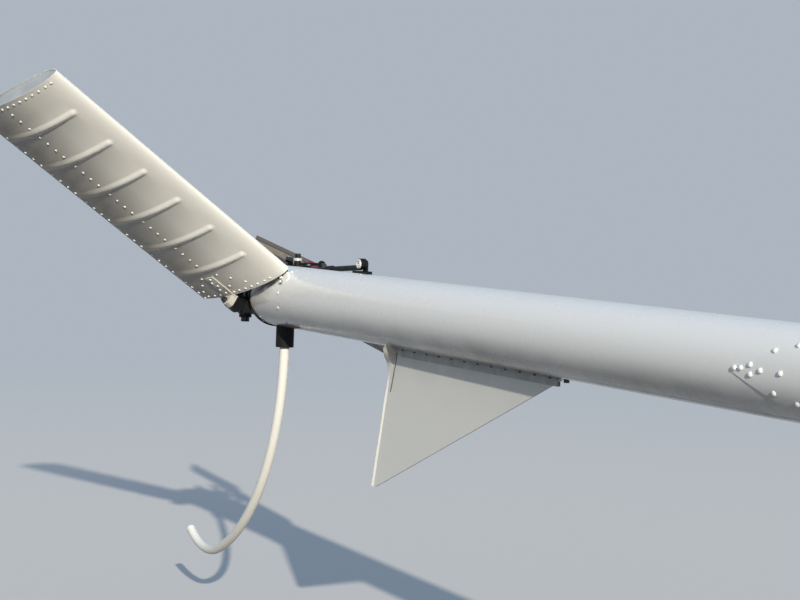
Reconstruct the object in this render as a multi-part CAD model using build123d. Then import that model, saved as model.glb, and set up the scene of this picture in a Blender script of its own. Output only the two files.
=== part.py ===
from build123d import *
from math import atan2, cos, degrees, radians, sin, sqrt
import os

# Tail boom of a light piston helicopter, in millimetres. +X points to the nose, +Y to port, +Z up.
# The origin is the centre of the front flange's face, and the boom runs aft from it along -X.
# A length called "forward" is measured from the boom's aft end towards the nose.

FIT = 0.15
RUNNING_FIT = 0.05

# Boom tube and its end fittings
BOOM_DIAMETER = 210.0
BOOM_LENGTH = 4000.0
BOOM_WALL = 1.8
FLANGE_DIAMETER = 262.0
FLANGE_THICKNESS = 9.0
FLANGE_BOLT_CIRCLE = 238.0
FLANGE_BOLT_COUNT = 8
FLANGE_BOLT_HOLE = 8.4
FRONT_SPIGOT_LENGTH = 60.0
FRONT_OPENING = 96.0
AFT_RIM_THICKNESS = 9.0
AFT_RIM_STANDS_PROUD = 4.0
AFT_SPIGOT_LENGTH = 245.0
AFT_OPENING = 120.0
SPIGOT_WALL = 5.0

# Centre saddle, with the lugs that the two support struts pin to
SADDLE_TIP_FORWARD = 2643.0
SADDLE_POINT_LENGTH = 200.0
SADDLE_BAND_LENGTH = 340.0
SADDLE_THICKNESS = 1.6
SADDLE_TIP_HALF_HEIGHT = 6.0
SADDLE_HALF_HEIGHT = 84.0
STRUT_FITTING_LENGTH = 120.0
STRUT_FITTING_THICKNESS = 12.0
STRUT_LUG_ANGLE = 35.0
STRUT_LUG_HEIGHT = 34.0
STRUT_LUG_THICKNESS = 9.0
STRUT_LUG_GAP = 16.0
STRUT_LUG_ROUND = 15.0
STRUT_PIN_HOLE = 10.2

# Tail skid: a straight length and two bends, in the boom's upright plane
SOCKET_FORWARD = 69.0
SOCKET_DIAMETER = 62.0
SOCKET_HEIGHT = 70.0
SKID_DIAMETER = 33.0
SKID_STRAIGHT = 40.0
SKID_RAKE = 0.7
SKID_LONG_RADIUS = 868.0
SKID_LONG_TURN = 67.3
SKID_SHORT_RADIUS = 321.0
SKID_SHORT_TURN = 53.2

# Ventral fin
FIN_FRONT_FORWARD = 1826.0
FIN_REAR_FORWARD = 904.0
FIN_TIP_FORWARD = 783.0
FIN_TIP_CHORD = 12.0
FIN_TIP_BELOW_AXIS = 546.0
FIN_ROOT_BELOW_BOOM = 3.0
FIN_REAR_THICKNESS = 26.0
FIN_EDGE_THICKNESS = 5.0
FIN_TIP_THICKNESS = 7.0
FIN_SKIN = 1.6
FIN_WEB_RECESS = 7.0
FIN_ANGLE_LEG = 20.0
FIN_ANGLE_START = 50.0
GUSSET_SEAM_FORWARD = 929.0
GUSSET_OUT = 45.0
GUSSET_OUT_FORWARD = 884.0
GUSSET_FOOT_BELOW_AXIS = 203.0
GUSSET_THICKNESS = 2.0
GUSSET_CLEAR_OF_BOOM = 2.0

# Stabiliser on the starboard side, canted up and leaning forward
STAB_CHORD = 420.0
STAB_SPAN = 1049.0
STAB_THICKNESS = 75.5
STAB_CREST = 0.41
STAB_TRAILING_EDGE = 3.0
STAB_CANT = 34.6
STAB_LEAN = 8.1
STAB_INCIDENCE = 26.6
STAB_LEADING_FORWARD = 218.0
STAB_LEADING_RISE = 47.4
STAB_LEADING_CLEAR = 4.0
STAB_END_RECESS = 6.0
STAB_SKIN = 1.5
STAB_RIB_THICKNESS = 2.0
BEAD_FIRST = 150.0
BEAD_PITCH = 152.0
BEAD_COUNT = 6
BEAD_RADIUS = 12.0
BEAD_START = 62.0
BEAD_END = 412.0
BEAD_SUNK_AT_START = 6.0
BEAD_SUNK_IN_MIDDLE = 4.0
BEAD_SUNK_AT_END = 10.0
FRONT_LUG_START = 195.0
FRONT_LUG_END = 238.0
FRONT_LUG_WIDTH = 34.0
FRONT_LUG_CORNER = 10.0
SPAR_STRAP_FRONT = 250.0
SPAR_STRAP_BACK = 288.0
SPAR_STRAP_REACH = 109.0
SPAR_STRAP_THICKNESS = 4.0
SPAR_LUG_THICKNESS = 34.0
SPAR_LUG_SIDE = 290.0
SPAR_LUG_INBOARD = 53.0
SPAR_LUG_AFT = 345.0

# Tail rotor gearbox
GEAR_AFT = 150.0
GEAR_RADIUS = 78.0
GEAR_STARBOARD = 76.0
GEAR_PORT = 60.0
GEAR_NECK_START = 74.0
GEAR_NECK_END = 50.0
GEAR_NECK_CLEAR = 4.0
GEAR_FLANGE_DIAMETER = 196.0
GEAR_FLANGE_THICKNESS = 12.0
GEAR_RIB_THICKNESS = 9.0
GEAR_RIB_LENGTH = 44.0
GEAR_RIB_HEIGHT = 42.0
GEAR_RIB_MIDDLE = 66.0
COVER_THICKNESS = 12.0
COVER_RADIUS = 66.0
COVER_DOME = 10.0
COVER_DOME_RADIUS = 36.0
ARM_LENGTH = 58.0
ARM_BEHIND_FLANGE = 1.0
ARM_START = 35.0
ARM_END = 150.0
ARM_TOP = -8.0
ARM_BOTTOM = -56.0
OUTPUT_FLANGE_THICKNESS = 10.0
OUTPUT_CONE_RADIUS = 60.0
OUTPUT_NOSE_RADIUS = 33.0
OUTPUT_NOSE_END = 97.0
SLEEVE_RADIUS = 25.0
SLEEVE_END = 122.0
SLEEVE_CLEARANCE = 0.5
BOSS_SUNK = 12.0
FILLER_PORT = 18.0
FILLER_RADIUS = 15.0
FILLER_BOSS_RADIUS = 20.0
FILLER_BOSS_HEIGHT = 22.0
FILLER_HEIGHT = 30.0
DRAIN_STARBOARD = 58.0
DRAIN_RADIUS = 15.0
DRAIN_BOSS_RADIUS = 22.0
DRAIN_BOSS_HEIGHT = 22.0
DRAIN_LENGTH = 15.0

# Tail rotor, two blades on a teetering hub
ROTOR_OFFSET = 225.0
ROTOR_RADIUS = 650.0
ROTOR_PARKED_ANGLE = 8.6
SHAFT_RADIUS = 16.0
FORK_BASE_RADIUS = 30.0
FORK_BASE_THICKNESS = 12.0
FORK_BASE_START = 160.0
FORK_EAR_WIDTH = 36.0
FORK_EAR_THICKNESS = 10.0
HUB_HALF_HEIGHT = 24.0
HUB_HALF_LENGTH = 56.0
HUB_THICKNESS = 34.0
HUB_CORNER = 10.0
HUB_CLEARANCE = 5.5
TEETER_PIN_RADIUS = 8.0
TEETER_HEAD_RADIUS = 13.0
TEETER_HEAD_HEIGHT = 7.0
TEETER_WASHER_THICKNESS = 5.0
SPINDLE_RADIUS = 14.0
SPINDLE_SHORT_OF_GRIP = 12.0
GRIP_RADIUS = 23.0
GRIP_START = 62.0
GRIP_END = 120.0
GRIP_TONGUE_END = 205.0
GRIP_TONGUE_WIDTH = 56.0
GRIP_TONGUE_THICKNESS = 25.0
GRIP_TONGUE_OVERLAP = 14.0
GRIP_CORNER = 12.0
BLADE_CHORD = 128.0
BLADE_THICKNESS = 15.0
BLADE_TRAILING_EDGE = 1.6
BLADE_START = 128.0
BLADE_CREST = 0.30
BLADE_AXIS_SHARE = 0.25
BLADE_PITCH = 8.0
CUFF_START = 12.0
CUFF_EDGE = 52.0
BLADE_BOLT_RADII = (145.0, 185.0)
BLADE_BOLT_RADIUS = 5.0
BLADE_BOLT_HEAD = 8.5
BLADE_BOLT_HEAD_HEIGHT = 5.5
TIP_CAP_LENGTH = 14.0
TIP_CAP_TAPER = 14.0

# Pitch control
LINK_FROM_SHAFT = 105.0
LINK_ROD_RADIUS = 5.0
LINK_COLLAR_RADIUS = 8.0
LINK_COLLAR_HEIGHT = 9.0
LINK_EYE_RADIUS = 12.5
LINK_EYE_WIDTH = 11.0
LINK_ROD_INTO_EYE = 2.0
BALL_RADIUS = 7.5
BALL_CLEARANCE = 0.3
BALL_STEM_RADIUS = 4.0
HORN_WIDTH = 16.0
HORN_THICKNESS = 10.0
HORN_EYE_START = 13.0
HORN_EYE_END = 25.0
HORN_COLLAR_START = 66.0
HORN_COLLAR_END = 90.0
HORN_COLLAR_RADIUS = 30.0
HORN_FOOT_RISE = 8.0
PLATE_HUB_RADIUS = 42.0
PLATE_HUB_THICKNESS = 14.0
PLATE_ARM_WIDTH = 18.0
PLATE_ARM_THICKNESS = 9.0
RING_START = 102.0
RING_THICKNESS = 12.0
RING_GAP = 0.3
RING_LUG_WIDTH = 22.0
CRANK_LEVEL = 122.0
CRANK_ROD_LEVEL = 99.0
CRANK_FORWARD = 16.0
CRANK_PORT = 62.0
CRANK_HUB_RADIUS = 12.0
CRANK_THICKNESS = 10.0
CRANK_ARM_WIDTH = 20.0
CRANK_ROD_PORT = 104.0
CRANK_CAP_HEIGHT = 18.0
CRANK_CAP_RADIUS = 10.5
PAD_RADIUS = 11.0
PAD_THICKNESS = 8.0
PAD_PORT = 101.0
CONTROL_BOLT_RADIUS = 4.0
CONTROL_BOLT_HEAD_RADIUS = 7.0
CONTROL_BOLT_HEAD_HEIGHT = 5.0
CONTROL_ROD_RADIUS = 9.0
CONTROL_ROD_NECK_RADIUS = 5.0
CONTROL_ROD_NECK_LENGTH = 46.0
ADJUSTER_RADIUS = 12.0
ADJUSTER_START = 180.0
ADJUSTER_LENGTH = 45.0
ROD_END_RADIUS = 11.0
ROD_END_THICKNESS = 14.0
IDLER_FORWARD = 486.0
IDLER_PORT = 78.0
IDLER_LEVEL = 130.0
IDLER_ROD_LEVEL = 119.0
IDLER_EYE_RADIUS = 18.0
IDLER_EYE_WIDTH = 20.0
IDLER_BOLT_RADIUS = 7.0
IDLER_EAR_THICKNESS = 7.0
IDLER_EAR_RADIUS = 13.0
IDLER_FOOT_AFT = 24.0
IDLER_FOOT_FORWARD = 32.0
IDLER_FOOT_LEVEL = 107.0
IDLER_FOOT_WIDTH = 44.0

# Drive shaft through the boom
DRIVE_RADIUS = 19.0
DRIVE_END_GAP = 0.3
COUPLING_DIAMETER = 84.0
COUPLING_BORE = 12.0
COUPLING_THICKNESS = 8.0
COUPLING_BOLT_CIRCLE = 64.0
COUPLING_BOLT_COUNT = 3
COUPLING_BOLT_HOLE = 6.4
COUPLING_BEHIND_FACE = 12.0

# Tools that cut run past what they cut by this much
PAST = 1.0

BOOM_RADIUS = BOOM_DIAMETER / 2
BORE_RADIUS = BOOM_RADIUS - BOOM_WALL
AFT = -BOOM_LENGTH
RIM_FACE = AFT - AFT_RIM_THICKNESS
ROTOR_X = AFT - GEAR_AFT
ON_BOOM = BOOM_RADIUS + FIT
FIN_ROOT_DEPTH = BOOM_RADIUS + FIN_ROOT_BELOW_BOOM
STAB_CREST_AT = STAB_CHORD * STAB_CREST
STAB_HALF = STAB_THICKNESS / 2


def put(name, *shapes):
    """Write one node's solids to its STEP file."""
    solids = [solid for shape in shapes for solid in shape.solids()]
    whole = solids[0] if len(solids) == 1 else Compound(children=solids)
    export_step(whole, f"parts/{name}.step")


def rod(start, end, radius):
    """A round bar from one point to another."""
    line = Vector(*end) - Vector(*start)
    return Solid.make_cylinder(radius, line.length, Plane(origin=start, z_dir=line))


def ring_x(x, length, outer, inner):
    """A ring about the boom's axis, from x towards the nose."""
    face = Plane(origin=(x, 0, 0), z_dir=(1, 0, 0))
    ring = Solid.make_cylinder(outer, length, face)
    return ring - Solid.make_cylinder(inner, length, face)


def boom_outside(radius):
    """A solid bar on the boom's axis, to shape what sits on the tube."""
    return rod((AFT, 0, 0), (0, 0, 0), radius)


def bolt_holes(count, circle, hole, start, end):
    """Drills for a ring of bolt holes about the boom's axis, the first one straight up."""
    drill = rod((start, 0, circle / 2), (end, 0, circle / 2), hole / 2)
    return [Rotation(360 * k / count, 0, 0) * drill for k in range(count)]


def about_rotor(shape):
    """Place a shape drawn about the hub centre, blades along X, at the parked angle."""
    return Location((ROTOR_X, ROTOR_OFFSET, 0)) * Rotation(0, ROTOR_PARKED_ANGLE, 0) * shape


def both_ways(shape):
    """A piece of the rotor and its twin, half a turn about the shaft, in place."""
    return [about_rotor(shape), about_rotor(Rotation(0, 180, 0) * shape)]


def section(chord, thickness, crest, trailing):
    """A symmetric aerofoil: half an ellipse ahead of the crest, one arc a side behind it."""
    nose = chord * crest
    top, bottom = (nose, thickness / 2), (nose, -thickness / 2)
    with BuildSketch() as sketch:
        with BuildLine():
            EllipticalCenterArc((nose, 0), nose, thickness / 2, start_angle=90, arc_size=180)
            TangentArc(top, (chord, trailing / 2), tangent=(1, 0))
            TangentArc(bottom, (chord, -trailing / 2), tangent=(1, 0))
            Line((chord, trailing / 2), (chord, -trailing / 2))
        make_face()
    return sketch.sketch


def boom():
    """The tube, the bolted flange at its front and the fitting that closes its aft end."""
    put("boom_tube", ring_x(AFT, BOOM_LENGTH - FLANGE_THICKNESS, BOOM_RADIUS, BORE_RADIUS))

    spigot_radius = BORE_RADIUS - FIT
    opening = FRONT_OPENING / 2
    back = -FLANGE_THICKNESS
    flange = ring_x(back, FLANGE_THICKNESS, FLANGE_DIAMETER / 2, opening)
    flange += ring_x(back - SPIGOT_WALL, SPIGOT_WALL, spigot_radius, opening)
    flange += ring_x(back - FRONT_SPIGOT_LENGTH, FRONT_SPIGOT_LENGTH,
                     spigot_radius, spigot_radius - SPIGOT_WALL)
    flange -= bolt_holes(FLANGE_BOLT_COUNT, FLANGE_BOLT_CIRCLE, FLANGE_BOLT_HOLE, back - PAST, PAST)
    put("front_flange", flange)

    rim = ring_x(RIM_FACE, AFT_RIM_THICKNESS, BOOM_RADIUS + AFT_RIM_STANDS_PROUD, AFT_OPENING / 2)
    put("aft_fitting", rim + ring_x(AFT, AFT_SPIGOT_LENGTH, spigot_radius, spigot_radius - SPIGOT_WALL))


def saddle():
    """A doubler wrapped round the boom, with a point aft on each side, and its strut lugs."""
    tip = AFT + SADDLE_TIP_FORWARD
    shoulder = tip + SADDLE_POINT_LENGTH
    outline = Polyline(
        (tip, SADDLE_TIP_HALF_HEIGHT), (shoulder, SADDLE_HALF_HEIGHT),
        (shoulder, -SADDLE_HALF_HEIGHT), (tip, -SADDLE_TIP_HALF_HEIGHT), close=True,
    )
    points = extrude(Plane.XZ * make_face(outline), amount=FLANGE_DIAMETER, both=True)
    outer = ON_BOOM + SADDLE_THICKNESS
    band = ring_x(shoulder, SADDLE_BAND_LENGTH, outer, ON_BOOM)
    put("centre_saddle", band + (ring_x(tip, SADDLE_POINT_LENGTH, outer, ON_BOOM) & points))

    middle = shoulder + SADDLE_BAND_LENGTH / 2
    inside = outer + FIT
    shell = ring_x(middle - STRUT_FITTING_LENGTH / 2, STRUT_FITTING_LENGTH,
                   inside + STRUT_FITTING_THICKNESS, inside)
    below = Location((middle, 0, -BOOM_RADIUS)) * Box(STRUT_FITTING_LENGTH, FLANGE_DIAMETER, BOOM_RADIUS)
    fitting = shell & below
    root = inside + STRUT_FITTING_THICKNESS / 2
    pin_at = outer + STRUT_FITTING_THICKNESS + STRUT_LUG_HEIGHT
    for side in (-1, 1):
        lean = Rotation(side * STRUT_LUG_ANGLE, 0, 0)
        for ear in (-1, 1):
            near = ear * STRUT_LUG_GAP / 2
            far = near + ear * STRUT_LUG_THICKNESS
            plate = Location((middle, (near + far) / 2, -(root + pin_at) / 2)) * Box(
                2 * STRUT_LUG_ROUND, STRUT_LUG_THICKNESS, pin_at - root)
            eye = rod((middle, near, -pin_at), (middle, far, -pin_at), STRUT_LUG_ROUND)
            fitting += lean * (plate + eye)
        fitting -= lean * rod((middle, -far - PAST, -pin_at), (middle, far + PAST, -pin_at), STRUT_PIN_HOLE / 2)
    put("strut_fitting", fitting)


def skid():
    """A tube out of a rubber socket that sweeps aft in two bends and ends turned up."""
    centre = AFT + SOCKET_FORWARD
    bottom = -BOOM_RADIUS - SOCKET_HEIGHT
    block = rod((centre, 0, bottom), (centre, 0, 0), SOCKET_DIAMETER / 2) - boom_outside(ON_BOOM)
    heading = (-sin(radians(SKID_RAKE)), -cos(radians(SKID_RAKE)))
    start = (centre, bottom + SOCKET_HEIGHT / 2)
    bend = (start[0] + heading[0] * SKID_STRAIGHT, start[1] + heading[1] * SKID_STRAIGHT)
    with BuildPart() as tube:
        with BuildLine(Plane.XZ) as path:
            Line(start, bend)
            long_bend = JernArc(bend, heading, SKID_LONG_RADIUS, -SKID_LONG_TURN)
            JernArc(long_bend @ 1, long_bend % 1, SKID_SHORT_RADIUS, -SKID_SHORT_TURN)
        with BuildSketch(Plane(origin=path.line @ 0, z_dir=path.line % 0)):
            Circle(SKID_DIAMETER / 2)
        sweep()
    bore = Solid.make_cylinder(SKID_DIAMETER / 2 + FIT, SOCKET_HEIGHT,
                               Plane(origin=(start[0], 0, start[1]), z_dir=(heading[0], 0, heading[1])))
    put("skid_socket", block - bore)
    put("tail_skid", tube.part)


def fin_rear(depth):
    """The fin's rear edge at a depth below the boom's axis: its x and half its thickness."""
    share = (depth - FIN_ROOT_DEPTH) / (FIN_TIP_BELOW_AXIS - FIN_ROOT_DEPTH)
    x = AFT + FIN_REAR_FORWARD + share * (FIN_TIP_FORWARD - FIN_REAR_FORWARD)
    return x, (FIN_REAR_THICKNESS + share * (FIN_TIP_THICKNESS - FIN_REAR_THICKNESS)) / 2


def fin_level(depth, chord):
    """The fin's outline at one depth: square behind, round in front."""
    x, half = fin_rear(depth)
    edge = min(FIN_EDGE_THICKNESS / 2, half)
    front = x + chord
    with BuildSketch(Plane.XY.offset(-depth)) as flat:
        with BuildLine():
            Line((x, half), (x, -half))
            Line((x, -half), (front - edge, -edge))
            ThreePointArc((front - edge, -edge), (front, 0), (front - edge, edge))
            Line((front - edge, edge), (x, half))
        make_face()
    return flat.sketch


def fin_strip(depth, back, front, clear):
    """A rectangle across the inside of the fin's rear edge, at one depth."""
    x, half = fin_rear(depth)
    with BuildSketch(Plane.XY.offset(-depth)) as flat:
        with Locations((x + (back + front) / 2, 0)):
            Rectangle(front - back, 2 * (half - FIN_SKIN - clear))
    return flat.sketch


def fin():
    """A thin wedge under the boom: thickest along its rear edge, open there for a web."""
    levels = (FIN_ROOT_DEPTH, FIN_TIP_BELOW_AXIS)
    chords = (FIN_FRONT_FORWARD - FIN_REAR_FORWARD, FIN_TIP_CHORD)
    wedge = loft([fin_level(depth, chord) for depth, chord in zip(levels, chords)])
    slot = loft([fin_strip(depth, -FIN_WEB_RECESS, FIN_WEB_RECESS, 0) for depth in levels])
    put("fin_skin", wedge - slot)
    front = FIN_WEB_RECESS - FIT
    put("fin_web", loft([fin_strip(depth, front - FIN_SKIN, front, FIT) for depth in levels]))

    half_root = FIN_REAR_THICKNESS / 2
    slope = atan2(half_root - FIN_EDGE_THICKNESS / 2, FIN_FRONT_FORWARD - FIN_REAR_FORWARD)
    start = AFT + FIN_REAR_FORWARD + FIN_ANGLE_START
    length = FIN_FRONT_FORWARD - FIN_REAR_FORWARD - FIN_ANGLE_START - FIN_ANGLE_LEG
    start_half = half_root - FIN_ANGLE_START * sin(slope) + FIT
    for name, sign in (("fin_angle_port", 1), ("fin_angle_starboard", -1)):
        along = Location((start, sign * start_half, -FIN_ROOT_DEPTH)) * Rotation(0, 0, -sign * degrees(slope))
        plate = Box(length, FIN_SKIN, 2 * FIN_ANGLE_LEG)
        upright = along * Location((length / 2, sign * FIN_SKIN / 2, 0)) * plate
        block = Box(length, FIN_ANGLE_LEG, 2 * FIN_ANGLE_LEG)
        flange = along * Location((length / 2, sign * FIN_ANGLE_LEG / 2, 0)) * block
        put(name, (upright + (flange & boom_outside(ON_BOOM + FIN_SKIN))) - boom_outside(ON_BOOM))


def gusset():
    """Two triangular plates that flare from the fin's rear corner out to the boom."""
    foot_x, foot_half = fin_rear(GUSSET_FOOT_BELOW_AXIS)
    seam_half = FIN_REAR_THICKNESS / 2
    reach = BOOM_RADIUS + GUSSET_CLEAR_OF_BOOM
    seam_drop = sqrt(reach ** 2 - seam_half ** 2)
    out_drop = sqrt(reach ** 2 - GUSSET_OUT ** 2)
    plates = []
    for side in (1, -1):
        foot = Vector(foot_x + GUSSET_THICKNESS, side * (foot_half + FIT), -GUSSET_FOOT_BELOW_AXIS)
        seam = Vector(AFT + GUSSET_SEAM_FORWARD, side * (seam_half + FIT), -seam_drop)
        out = Vector(AFT + GUSSET_OUT_FORWARD, side * GUSSET_OUT, -out_drop)
        outline = Face(Wire.make_polygon([foot, seam, out], close=True))
        normal = outline.normal_at()
        away = normal if normal.Y * side > 0 else normal * -1
        plates.append(extrude(outline, amount=GUSSET_THICKNESS, dir=away))
    put("fin_gussets", *plates)


def stabiliser_place():
    """The root's plane: x runs aft along the chord, y down through the lower skin, z out to the tip."""
    cant, lean, incidence = radians(STAB_CANT), radians(STAB_LEAN), radians(STAB_INCIDENCE)
    out = Vector(0, -cos(cant), sin(cant))
    down = Vector(0, -sin(cant), -cos(cant))
    span = Vector(sin(lean), 0, 0) + out * cos(lean)
    aft = Vector(-cos(lean), 0, 0) + out * sin(lean)
    chord = aft * cos(incidence) + down * sin(incidence)
    leading = (
        Vector(AFT + STAB_LEADING_FORWARD, 0, 0)
        + out * (BOOM_RADIUS + STAB_LEADING_CLEAR) - down * STAB_LEADING_RISE
    )
    return Plane(origin=leading, x_dir=chord, z_dir=span)


def skin_arc():
    """The radius of the skin's arc behind the crest, from its rise over its run."""
    run = STAB_CHORD - STAB_CREST_AT
    rise = STAB_HALF - STAB_TRAILING_EDGE / 2
    return (run ** 2 + rise ** 2) / (2 * rise)


def skin_height(x):
    """Half the stabiliser's thickness at a distance x behind its leading edge."""
    ahead = STAB_CREST_AT - x
    if ahead > 0:
        return STAB_HALF * sqrt(1 - (ahead / STAB_CREST_AT) ** 2)
    return STAB_HALF - skin_arc() + sqrt(skin_arc() ** 2 - ahead ** 2)


def stabiliser_bead(face):
    """One pressed bead: a round ridge that follows the skin and sinks into it at its aft end."""
    middle = (BEAD_START + BEAD_END) / 2
    points = [
        (x, skin_height(x) - sunk)
        for x, sunk in ((BEAD_START, BEAD_SUNK_AT_START), (middle, BEAD_SUNK_IN_MIDDLE),
                        (BEAD_END, BEAD_SUNK_AT_END))
    ]
    path = ThreePointArc(*points)
    ridge = sweep(Plane(origin=path @ 0, z_dir=path % 0) * Circle(BEAD_RADIUS), path=path)
    ridge += Location(path @ 0) * Sphere(BEAD_RADIUS)
    own_side = Location((STAB_CHORD / 2, STAB_CHORD / 2, 0)) * Box(STAB_CHORD, STAB_CHORD, STAB_CHORD)
    ridge &= own_side
    return ridge if face > 0 else ridge.mirror(Plane.XZ)


def stabiliser():
    """A constant section from root to tip, with pressed beads on both skins and a rib in each end."""
    place = stabiliser_place().location
    inside_chord = STAB_CHORD * (1 - STAB_TRAILING_EDGE / STAB_THICKNESS)
    inside = Location((STAB_SKIN, 0)) * section(
        inside_chord, STAB_THICKNESS - 2 * STAB_SKIN, STAB_CREST, STAB_TRAILING_EDGE / 2)
    recess = extrude(inside, amount=STAB_END_RECESS)
    skin = extrude(section(STAB_CHORD, STAB_THICKNESS, STAB_CREST, STAB_TRAILING_EDGE), amount=STAB_SPAN)
    skin -= recess
    skin -= Location((0, 0, STAB_SPAN - STAB_END_RECESS)) * recess
    for face in (1, -1):
        bead = stabiliser_bead(face)
        for k in range(BEAD_COUNT):
            skin += Location((0, 0, BEAD_FIRST + k * BEAD_PITCH)) * bead
    put("stabiliser_skin", place * skin)

    rib = extrude(
        Location((STAB_SKIN + FIT, 0)) * section(
            inside_chord - 2 * FIT, STAB_THICKNESS - 2 * (STAB_SKIN + FIT), STAB_CREST,
            STAB_TRAILING_EDGE / 3),
        amount=STAB_RIB_THICKNESS)
    root_rib = STAB_END_RECESS - STAB_RIB_THICKNESS - FIT
    put("stabiliser_root_rib", place * Location((0, 0, root_rib)) * rib)
    put("stabiliser_tip_rib", place * Location((0, 0, STAB_SPAN - STAB_END_RECESS + FIT)) * rib)


def inboard_of_root():
    """All that lies on the boom's side of the stabiliser's root plane."""
    return stabiliser_place().location * Location((0, 0, -FIT - BOOM_LENGTH / 2)) * Box(
        BOOM_LENGTH, BOOM_LENGTH, BOOM_LENGTH)


def front_lug():
    """The lug on the boom's shoulder that carries the stabiliser's nose."""
    height = 2 * STAB_LEADING_CLEAR + (FRONT_LUG_END - FRONT_LUG_START) * sin(radians(STAB_LEAN))
    length = FRONT_LUG_END - FRONT_LUG_START
    block = Location((AFT + FRONT_LUG_START + length / 2, 0, BOOM_RADIUS + height / 2 - STAB_LEADING_CLEAR)) * Box(
        length, FRONT_LUG_WIDTH, height)
    block = fillet(block.edges().filter_by(Axis.Z), FRONT_LUG_CORNER)
    return Rotation(90 - STAB_CANT, 0, 0) * block


def spar_lug(grow):
    """The block on the inboard end of the stabiliser's spar strap, drawn in the root's plane."""
    outline = Polyline(
        (SPAR_STRAP_FRONT, -STAB_END_RECESS), (SPAR_LUG_SIDE, -STAB_END_RECESS),
        (SPAR_LUG_AFT, -SPAR_LUG_INBOARD / 2 - STAB_END_RECESS), (SPAR_LUG_SIDE, -SPAR_LUG_INBOARD),
        (SPAR_STRAP_FRONT, -SPAR_LUG_INBOARD / 2), close=True,
    )
    top = skin_height(SPAR_STRAP_FRONT) + SPAR_STRAP_THICKNESS + grow
    face = Plane.XZ.offset(-top) * offset(make_face(outline), grow, kind=Kind.INTERSECTION)
    return extrude(face, amount=SPAR_LUG_THICKNESS + 2 * grow)


def stabiliser_mounting():
    """The lug at the nose, and the strap under the spar with the block that the gearbox's arm holds."""
    put("stabiliser_front_strap", (front_lug() & inboard_of_root()) - boom_outside(ON_BOOM))

    place = stabiliser_place().location
    outer = skin_arc() + FIT + SPAR_STRAP_THICKNESS
    length = SPAR_STRAP_REACH + SPAR_LUG_INBOARD / 2
    centre = Location((STAB_CREST_AT, STAB_HALF - skin_arc(), SPAR_STRAP_REACH - length / 2))
    strap = centre * (Cylinder(outer, length) - Cylinder(skin_arc() + FIT, length))
    width = SPAR_STRAP_BACK - SPAR_STRAP_FRONT
    strap &= Location((SPAR_STRAP_FRONT + width / 2, STAB_HALF, centre.position.Z)) * Box(
        width, STAB_THICKNESS, length)
    put("stabiliser_spar_strap", place * (strap + spar_lug(0)))


def neck(grow):
    """The gearbox's round body: the flange, the tapered neck and the barrel across the shaft."""
    along = Plane(origin=(RIM_FACE, 0, 0), z_dir=(-1, 0, 0))
    length = GEAR_AFT - AFT_RIM_THICKNESS - COVER_RADIUS - GEAR_NECK_CLEAR
    shape = Solid.make_cylinder(GEAR_FLANGE_DIAMETER / 2 + grow, GEAR_FLANGE_THICKNESS + grow, along)
    shape += Solid.make_cone(GEAR_NECK_START + grow, GEAR_NECK_END + grow, length, along)
    shape += rod((RIM_FACE - length, 0, 0), (ROTOR_X, 0, 0), GEAR_NECK_END + grow)
    shape += rod((ROTOR_X, -GEAR_STARBOARD - grow, 0), (ROTOR_X, GEAR_PORT + grow, 0), GEAR_RADIUS + grow)
    return shape


def gearbox():
    """The casting with its ribs and bosses, its covers, and the arm that holds the stabiliser's spar."""
    rib = Location((RIM_FACE - GEAR_FLANGE_THICKNESS - GEAR_RIB_LENGTH / 2, 0, GEAR_RIB_MIDDLE)) * Box(
        GEAR_RIB_LENGTH, GEAR_RIB_THICKNESS, GEAR_RIB_HEIGHT)
    housing = neck(0)
    for k in range(4):
        housing += Rotation(90 * k, 0, 0) * rib
    boss = Vector(ROTOR_X, FILLER_PORT, GEAR_RADIUS - BOSS_SUNK)
    cap = boss + Vector(0, 0, FILLER_BOSS_HEIGHT)
    housing += rod(boss, cap, FILLER_BOSS_RADIUS)
    drain = Vector(ROTOR_X, -DRAIN_STARBOARD, BOSS_SUNK - GEAR_RADIUS)
    plug = drain - Vector(0, 0, DRAIN_BOSS_HEIGHT)
    housing += rod(drain, plug, DRAIN_BOSS_RADIUS)
    put("gearbox_housing", housing)
    put("filler_cap", rod(cap, cap + Vector(0, 0, FILLER_HEIGHT), FILLER_RADIUS))
    put("drain_plug", rod(plug, plug - Vector(0, 0, DRAIN_LENGTH), DRAIN_RADIUS))

    cover_end = -GEAR_STARBOARD - COVER_THICKNESS
    cover = rod((ROTOR_X, -GEAR_STARBOARD, 0), (ROTOR_X, cover_end, 0), COVER_RADIUS)
    cover += rod((ROTOR_X, cover_end, 0), (ROTOR_X, cover_end - COVER_DOME, 0), COVER_DOME_RADIUS)
    put("gearbox_cover", cover)

    cone_start = GEAR_PORT + OUTPUT_FLANGE_THICKNESS
    carrier = rod((ROTOR_X, GEAR_PORT, 0), (ROTOR_X, cone_start, 0), COVER_RADIUS)
    carrier += Solid.make_cone(OUTPUT_CONE_RADIUS, OUTPUT_NOSE_RADIUS, OUTPUT_NOSE_END - cone_start,
                               Plane(origin=(ROTOR_X, cone_start, 0), z_dir=(0, 1, 0)))
    carrier += rod((ROTOR_X, GEAR_PORT, 0), (ROTOR_X, SLEEVE_END, 0), SLEEVE_RADIUS)
    carrier -= rod((ROTOR_X, GEAR_PORT, 0), (ROTOR_X, SLEEVE_END, 0), SHAFT_RADIUS + SLEEVE_CLEARANCE)
    put("output_housing", carrier)

    front = RIM_FACE - GEAR_FLANGE_THICKNESS - ARM_BEHIND_FLANGE
    arm = Location((front - ARM_LENGTH / 2, -(ARM_START + ARM_END) / 2, (ARM_TOP + ARM_BOTTOM) / 2)) * Box(
        ARM_LENGTH, ARM_END - ARM_START, ARM_TOP - ARM_BOTTOM)
    put("stabiliser_mount", arm - neck(FIT) - stabiliser_place().location * spar_lug(FIT))


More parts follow.
